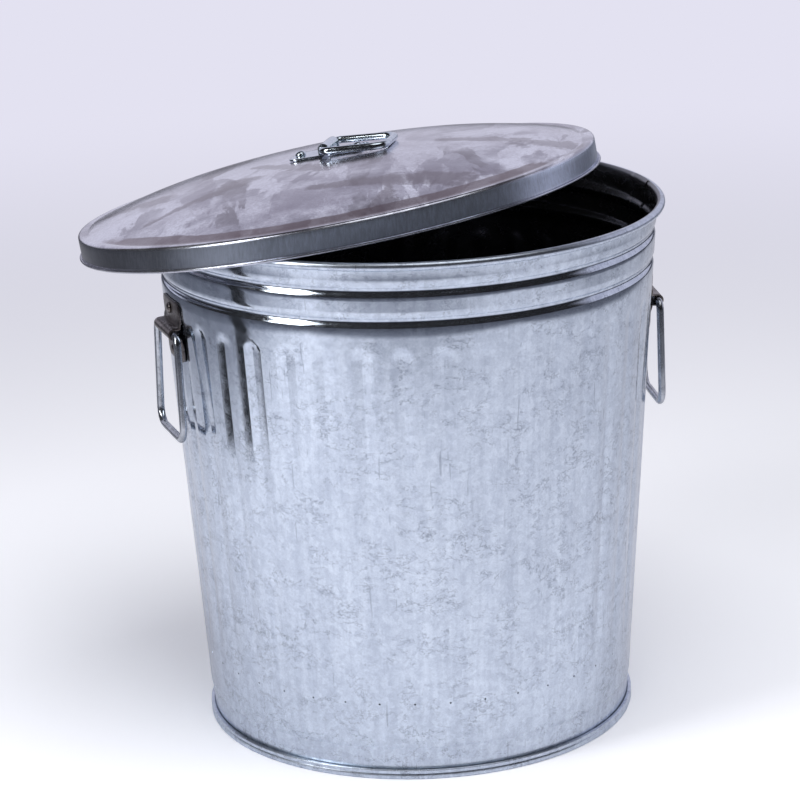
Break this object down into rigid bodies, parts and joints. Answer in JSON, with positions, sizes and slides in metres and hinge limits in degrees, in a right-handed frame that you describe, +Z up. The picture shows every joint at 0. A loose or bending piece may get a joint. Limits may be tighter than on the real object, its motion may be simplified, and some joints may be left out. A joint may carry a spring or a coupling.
{
  "type": "metal trash can with lid",
  "caption": "Tapered galvanized steel can with fluted wall, rolled rim, hanging bail handles and a domed lid with its own bail, lying askew on the rim.",
  "frame": {"origin": "centre of the whole object's box at floor level, with the lid lying askew as stored; the can's own axis stands at x = 0.029 m, y = -0.0134 m", "axes": "+Z up out of the can's mouth; -Y towards the viewer of the picture; +X to the viewer's right, where the lid leaves the mouth open"},
  "size_m": [0.4748, 0.4434, 0.4771],
  "materials": {
    "zinc_sheet": "galvanized, spangled, dulled by handling",
    "lid_sheet": "galvanized, smudged",
    "zinc_wire": "galvanized wire and strap, darker and smoother"
  },
  "bodies": {
    "can": {"body_shell": "zinc_sheet", "rim_wire": "zinc_wire", "base_pan": "zinc_sheet", "left_bracket": "zinc_wire", "left_rivet_upper": "zinc_wire", "left_washer_upper": "zinc_sheet", "left_rivet_lower": "zinc_wire", "left_washer_lower": "zinc_sheet", "right_bracket": "zinc_wire", "right_rivet_upper": "zinc_wire", "right_washer_upper": "zinc_sheet", "right_rivet_lower": "zinc_wire", "right_washer_lower": "zinc_sheet"},
    "lid": {"lid_pan": "lid_sheet", "lid_bracket": "zinc_wire", "lid_rivet_near": "zinc_wire", "lid_washer_near": "zinc_sheet", "lid_rivet_far": "zinc_wire", "lid_washer_far": "zinc_sheet"},
    "left_bail": {"left_handle": "zinc_wire"},
    "right_bail": {"right_handle": "zinc_wire"},
    "lid_bail": {"lid_handle": "zinc_wire"}
  },
  "joints": [
    {"name": "lid_lift", "type": "slide", "parent": "can", "child": "lid", "axis": [0, 0, 1], "range_m": [0, 0.2]},
    {"name": "left_bail_swing", "type": "hinge", "parent": "can", "child": "left_bail", "pos_m": [-0.15884, -0.08929, 0.34463], "axis": [-0.3746, 0.9272, 0], "range_deg": [0, 128]},
    {"name": "right_bail_swing", "type": "hinge", "parent": "can", "child": "right_bail", "pos_m": [0.2276, 0.02341, 0.33563], "axis": [0.1822, -0.9833, 0], "range_deg": [0, 173]},
    {"name": "lid_bail_swing", "type": "hinge", "parent": "lid", "child": "lid_bail", "pos_m": [-0.03285, 0.01009, 0.46818], "axis": [-0.1507, -0.9879, 0.036], "range_deg": [0, 187]}
  ]
}
